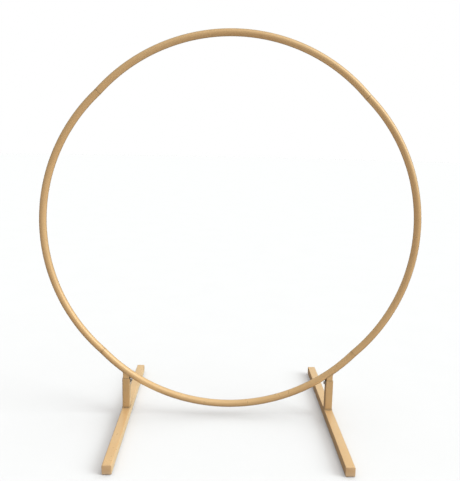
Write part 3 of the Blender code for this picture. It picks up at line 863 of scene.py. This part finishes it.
        size = hi.x - lo.x
        rings.append(cap_ring(size * 0.55, 0.0030, flange_out - sy * 0.00002))
        rings.append(cap_ring(size - 0.0044, 0.0030, flange_out - sy * 0.00006))
        rings.append(cap_ring(size - 0.0020, 0.0034, flange_out - sy * 0.00022))
        rings.append(cap_ring(size - 0.0006, 0.0038, flange_out - sy * 0.00070))
        rings.append(cap_ring(size, 0.0040, flange_out - sy * 0.00140))
        rings.append(cap_ring(size, 0.0040, inside_y + sy * 0.00025))
        rings.append(cap_ring(size - 0.0005, 0.0038, inside_y))
        plug = size - 0.004 - 0.0006
        rings.append(cap_ring(plug - 0.0016, 0.0012, inside_y))
        y = inside_y
        for rib in range(3):
            y1 = inside_y - sy * (0.004 + rib * 0.0048)
            rings.append(cap_ring(plug - 0.0016, 0.0012, y1 + sy * 0.0010))
            rings.append(cap_ring(plug, 0.0018, y1))
            rings.append(cap_ring(plug - 0.0016, 0.0012, y1 - sy * 0.0018))
        end_y = hi.y if sy < 0 else lo.y
        rings.append(cap_ring(plug - 0.0016, 0.0012, end_y))
        cap = loft(side_name + "_beam_cap_fine_" + end_name, rings, closed=False, cap=True)
        smooth(cap, 38)
        piece(cap, foot, mat_cap, [side_name + "_beam_cap_" + end_name])

        # rubber pad: rounded strip with a grooved sole
        lo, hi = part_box(side_name + "_foot_pad_" + end_name)
        px, py = (lo.x + hi.x) / 2.0, (lo.y + hi.y) / 2.0
        w, l, h = hi.x - lo.x, hi.y - lo.y, hi.z - lo.z

        def pad_ring(inset, z, radius=0.004):
            pts = []
            hw, hl = w / 2.0 - radius, l / 2.0 - radius
            for quarter, (qx, qy) in enumerate(((1, 1), (-1, 1), (-1, -1), (1, -1))):
                for step in range(7):
                    a = math.pi / 2.0 * (quarter + step / 6.0)
                    pts.append(Vector((px + qx * hw + (radius - inset) * math.cos(a),
                                       py + qy * hl + (radius - inset) * math.sin(a), z)))
            return pts

        pad = loft(side_name + "_foot_pad_fine_" + end_name,
                   [pad_ring(0.0008, hi.z), pad_ring(0.0002, hi.z - 0.0003),
                    pad_ring(0.0, hi.z - 0.0008), pad_ring(0.0, lo.z + 0.0010),
                    pad_ring(0.0003, lo.z + 0.0004), pad_ring(0.0009, lo.z)],
                   closed=False, cap=True)
        for i in range(7):
            groove_y = py + (i - 3) * 0.0072
            mesh = bpy.data.meshes.new("groove")
            bm = bmesh.new()
            bmesh.ops.create_cube(bm, size=1.0)
            bmesh.ops.scale(bm, vec=(w * 0.8, 0.0018, 0.0016), verts=bm.verts)
            bmesh.ops.translate(bm, verts=bm.verts, vec=(px, groove_y, lo.z))
            bm.to_mesh(mesh)
            bm.free()
            g = bpy.data.objects.new("groove", mesh)
            tools.objects.link(g)
            cut(pad, g)
            drop(g)
        smooth(pad, 32)
        piece(pad, foot, mat_pad, [side_name + "_foot_pad_" + end_name])

# -------------------------------------------------------------- stage, light
scene = bpy.context.scene
scene.view_settings.view_transform = 'Standard'
scene.view_settings.look = 'None'
scene.view_settings.exposure = 0.0
scene.view_settings.gamma = 1.0

floor_mesh = bpy.data.meshes.new("studio_floor")
bm = bmesh.new()
bmesh.ops.create_circle(bm, cap_ends=True, segments=96, radius=40.0)
bm.to_mesh(floor_mesh)
bm.free()
floor = bpy.data.objects.new("studio_floor", floor_mesh)
scene.collection.objects.link(floor)
fn = Nodes("studio_floor_paint")
f_tone = fn.mix(fn.remap(fn.noise(3.0, 3.0), 0.3, 0.7), FLOOR_TONE,
                tuple(c * 1.01 for c in FLOOR_TONE))
f_path = fn.add('ShaderNodeLightPath')
fn.set('Base Color', fn.mix(f_path.outputs['Is Camera Ray'], FLOOR_BOUNCE, f_tone))
fn.set('Roughness', 0.85)
fn.set('Specular IOR Level', 0.0)
# pale to the eye, it throws back a little less light, and what the satin
# paint mirrors of it is darker still
f_sheen = fn.add('ShaderNodeEmission')
# except on the lit side of each foot, where it is out of the foot's shadow
f_xyz = fn.add('ShaderNodeSeparateXYZ')
fn.link(fn.add('ShaderNodeNewGeometry').outputs['Position'], f_xyz.inputs[0])
f_lit = 0.0
for side in ("left", "right"):
    _, f_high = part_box(side + "_floor_beam")
    f_band = fn.maths('MULTIPLY', fn.remap(f_xyz.outputs['X'], f_high[0] - 0.012, f_high[0] - 0.004),
                      fn.remap(f_xyz.outputs['X'], f_high[0] + 0.08, f_high[0] + 0.14, 1.0, 0.0))
    f_lit = fn.maths('ADD', f_band, f_lit)
f_along = fn.remap(fn.maths('ABSOLUTE', f_xyz.outputs['Y']), f_high[1] + 0.02, f_high[1] + 0.12,
                   1.0, 0.0)
fn.link(fn.mix(fn.maths('MULTIPLY', f_lit, f_along), FLOOR_SHEEN, FLOOR_LIT),
        f_sheen.inputs['Color'])
f_both = fn.add('ShaderNodeMixShader')
fn.link(f_path.outputs['Is Glossy Ray'], f_both.inputs['Fac'])
fn.link(fn.shader.outputs['BSDF'], f_both.inputs[1])
fn.link(f_sheen.outputs['Emission'], f_both.inputs[2])
fn.link(f_both.outputs['Shader'], fn.out.inputs['Surface'])
fn.mat.cycles.emission_sampling = 'NONE'
floor.data.materials.append(fn.mat)

world = bpy.data.worlds.new("studio")
scene.world = world
world.use_nodes = True
wt = world.node_tree
wt.nodes.clear()


def world_maths(operation, a, b):
    node = wt.nodes.new('ShaderNodeMath')
    node.operation = operation
    for socket, v in zip(node.inputs, (a, b)):
        if isinstance(v, (int, float)):
            socket.default_value = v
        else:
            wt.links.new(v, socket)
    return node.outputs['Value']


def studio_light(room, windows):
    """A background lit evenly by the room and more strongly by each window."""
    total = wt.nodes.new('ShaderNodeVectorMath')
    total.operation = 'ADD'
    total.inputs[0].default_value = room
    total.inputs[1].default_value = (0.0, 0.0, 0.0)
    total = total.outputs['Vector']
    for direction, tightness, strength in windows:
        dot = wt.nodes.new('ShaderNodeVectorMath')
        dot.operation = 'DOT_PRODUCT'
        wt.links.new(w_coord.outputs['Generated'], dot.inputs[0])
        dot.inputs[1].default_value = Vector(direction).normalized()
        fall = world_maths('MULTIPLY', world_maths('SUBTRACT', dot.outputs['Value'], 1.0),
                           tightness)
        glow = wt.nodes.new('ShaderNodeVectorMath')
        glow.operation = 'SCALE'
        glow.inputs[0].default_value = strength
        wt.links.new(world_maths('EXPONENT', fall, 0.0), glow.inputs['Scale'])
        added = wt.nodes.new('ShaderNodeVectorMath')
        added.operation = 'ADD'
        wt.links.new(total, added.inputs[0])
        wt.links.new(glow.outputs['Vector'], added.inputs[1])
        total = added.outputs['Vector']
    background = wt.nodes.new('ShaderNodeBackground')
    background.inputs['Strength'].default_value = 1.0
    wt.links.new(total, background.inputs['Color'])
    return background.outputs['Background']


w_out = wt.nodes.new('ShaderNodeOutputWorld')
w_coord = wt.nodes.new('ShaderNodeTexCoord')
w_path = wt.nodes.new('ShaderNodeLightPath')
w_seen = wt.nodes.new('ShaderNodeBackground')
w_seen.inputs['Color'].default_value = (1.0, 1.0, 1.0, 1.0)
w_seen.inputs['Strength'].default_value = 1.0
w_mix = wt.nodes.new('ShaderNodeMixShader')
wt.links.new(w_path.outputs['Is Glossy Ray'], w_mix.inputs['Fac'])
wt.links.new(studio_light(ROOM_MATT, WINDOWS_MATT), w_mix.inputs[1])
wt.links.new(studio_light(ROOM_SHEEN, WINDOWS_SHEEN), w_mix.inputs[2])
w_all = wt.nodes.new('ShaderNodeMixShader')
wt.links.new(w_path.outputs['Is Camera Ray'], w_all.inputs['Fac'])
wt.links.new(w_mix.outputs['Shader'], w_all.inputs[1])
wt.links.new(w_seen.outputs['Background'], w_all.inputs[2])
wt.links.new(w_all.outputs['Shader'], w_out.inputs['Surface'])
world.cycles.sampling_method = 'NONE'


def far_softbox(name, direction, strength, spread):
    """A large soft source far away, so that its light is even over the floor."""
    light = bpy.data.lights.new(name, 'SUN')
    light.energy = strength
    light.angle = math.radians(spread)
    light.color = (0.96, 1.02, 1.03)
    obj = bpy.data.objects.new(name, light)
    scene.collection.objects.link(obj)
    obj.rotation_mode = 'QUATERNION'
    obj.rotation_quaternion = (-Vector(direction)).to_track_quat('-Z', 'Y')
    obj.visible_glossy = False
    return obj


far_softbox("side_softbox", (0.85, -0.31, 0.50), 2.23, 36.0)

# -------------------------------------------------------------------- camera
F_PX, CAM = 595.8335, Vector((-0.06592, -3.08640, CENTRE_Z + 0.47944))
YAW, PITCH, ROLL = (math.radians(v) for v in (1.13528, -10.03898, 1.15118))
fwd = Vector((math.sin(YAW) * math.cos(PITCH), math.cos(YAW) * math.cos(PITCH), math.sin(PITCH)))
right = Vector((math.cos(YAW), -math.sin(YAW), 0.0))
up = right.cross(fwd)
r2 = right * math.cos(ROLL) + up * math.sin(ROLL)
u2 = -right * math.sin(ROLL) + up * math.cos(ROLL)
cam_data = bpy.data.cameras.new("camera")
cam_data.sensor_width = 36.0
cam_data.sensor_fit = 'AUTO'
cam_data.lens = F_PX / 481.0 * 36.0
cam_data.clip_start, cam_data.clip_end = 0.05, 200.0
camera = bpy.data.objects.new("camera", cam_data)
scene.collection.objects.link(camera)
rot = Matrix((r2, u2, -fwd)).transposed().to_4x4()
camera.matrix_world = Matrix.Translation(CAM) @ rot
scene.camera = camera

# -------------------------------------------------------------------- finish
bpy.context.view_layer.update()
